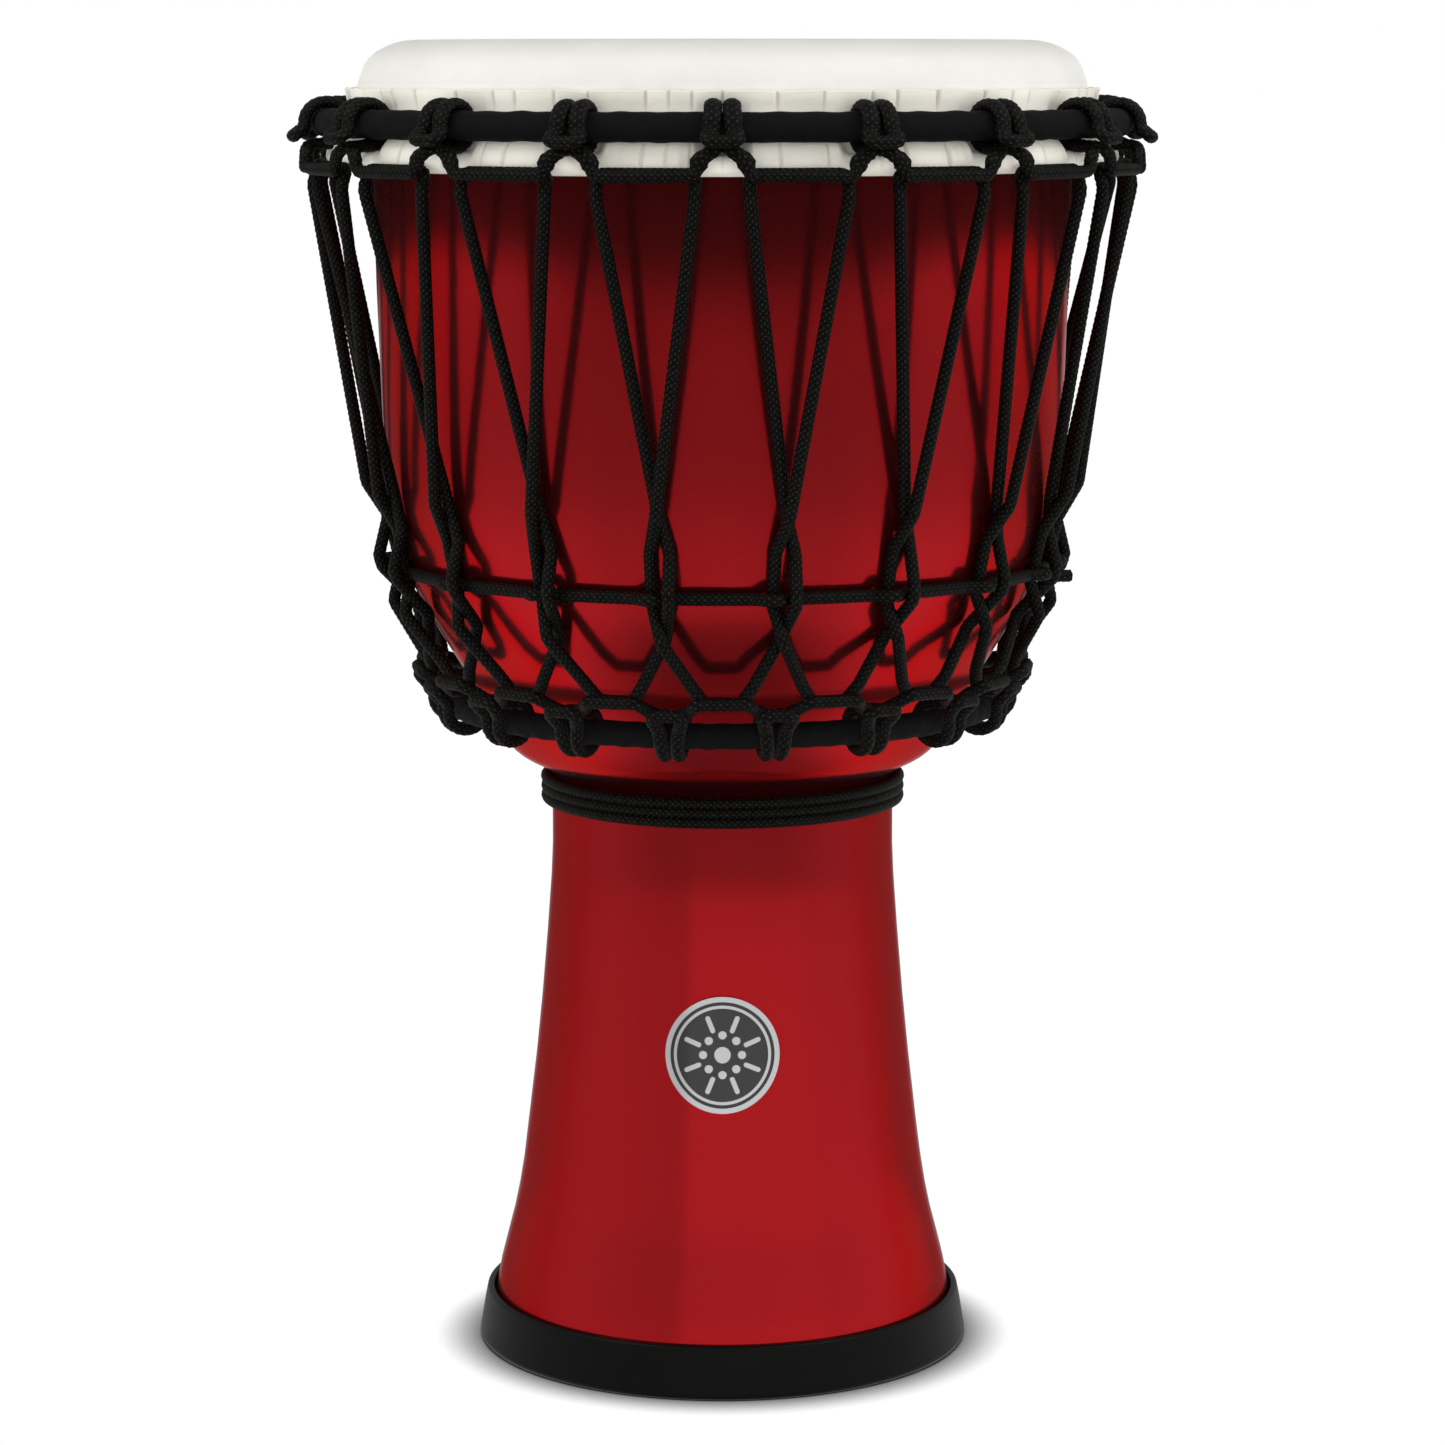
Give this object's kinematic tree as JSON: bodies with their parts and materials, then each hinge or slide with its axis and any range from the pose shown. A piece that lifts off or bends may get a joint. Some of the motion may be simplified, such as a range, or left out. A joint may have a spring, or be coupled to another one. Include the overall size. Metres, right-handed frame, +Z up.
{
  "type": "djembe",
  "caption": "Small goblet-shaped rope-tuned hand drum with a skin head, two fabric-covered rings, laced cords, a rubber foot ring and a round badge.",
  "frame": {"origin": "centre of the foot on the floor, on the drum axis", "axes": "+Z up along the drum axis towards the playing surface; -Y towards the badge; +X to the right seen from the badge side"},
  "size_m": [0.2116, 0.214, 0.3175],
  "materials": {
    "red_lacquer": "deep gloss clear-coated red",
    "foot_rubber": "matte moulded rubber with a soft highlight",
    "skin": "pale scraped goat skin, satin",
    "ring_steel": "plain round bar, hidden",
    "sleeve_fabric": "black woven sleeve, matte",
    "cord": "black braided polyester cord",
    "badge_metal": "polished silver",
    "badge_black": "black enamel fill, gloss",
    "adhesive": "thin foam tape, hidden"
  },
  "bodies": {
    "shell": {"shell": "red_lacquer", "foot_ring": "foot_rubber", "drum_head": "skin", "bottom_ring_core": "ring_steel", "bottom_ring_sleeve": "sleeve_fabric", "bottom_loop_rope": "cord", "tension_rope": "cord", "tuning_row_rope": "cord", "neck_wrap_rope": "cord", "badge_casting": "badge_metal", "badge_enamel": "badge_black", "badge_adhesive": "adhesive"},
    "tuning_hoops": {"flesh_ring": "ring_steel", "crown_ring_core": "ring_steel", "crown_ring_sleeve": "sleeve_fabric", "top_loop_rope": "cord"}
  },
  "joints": [
    {"name": "tuning_travel", "type": "slide", "parent": "shell", "child": "tuning_hoops", "axis": [0, 0, -1], "range_m": [-0.004, 0.003], "deforming": ["drum_head", "tension_rope", "tuning_row_rope"]}
  ]
}
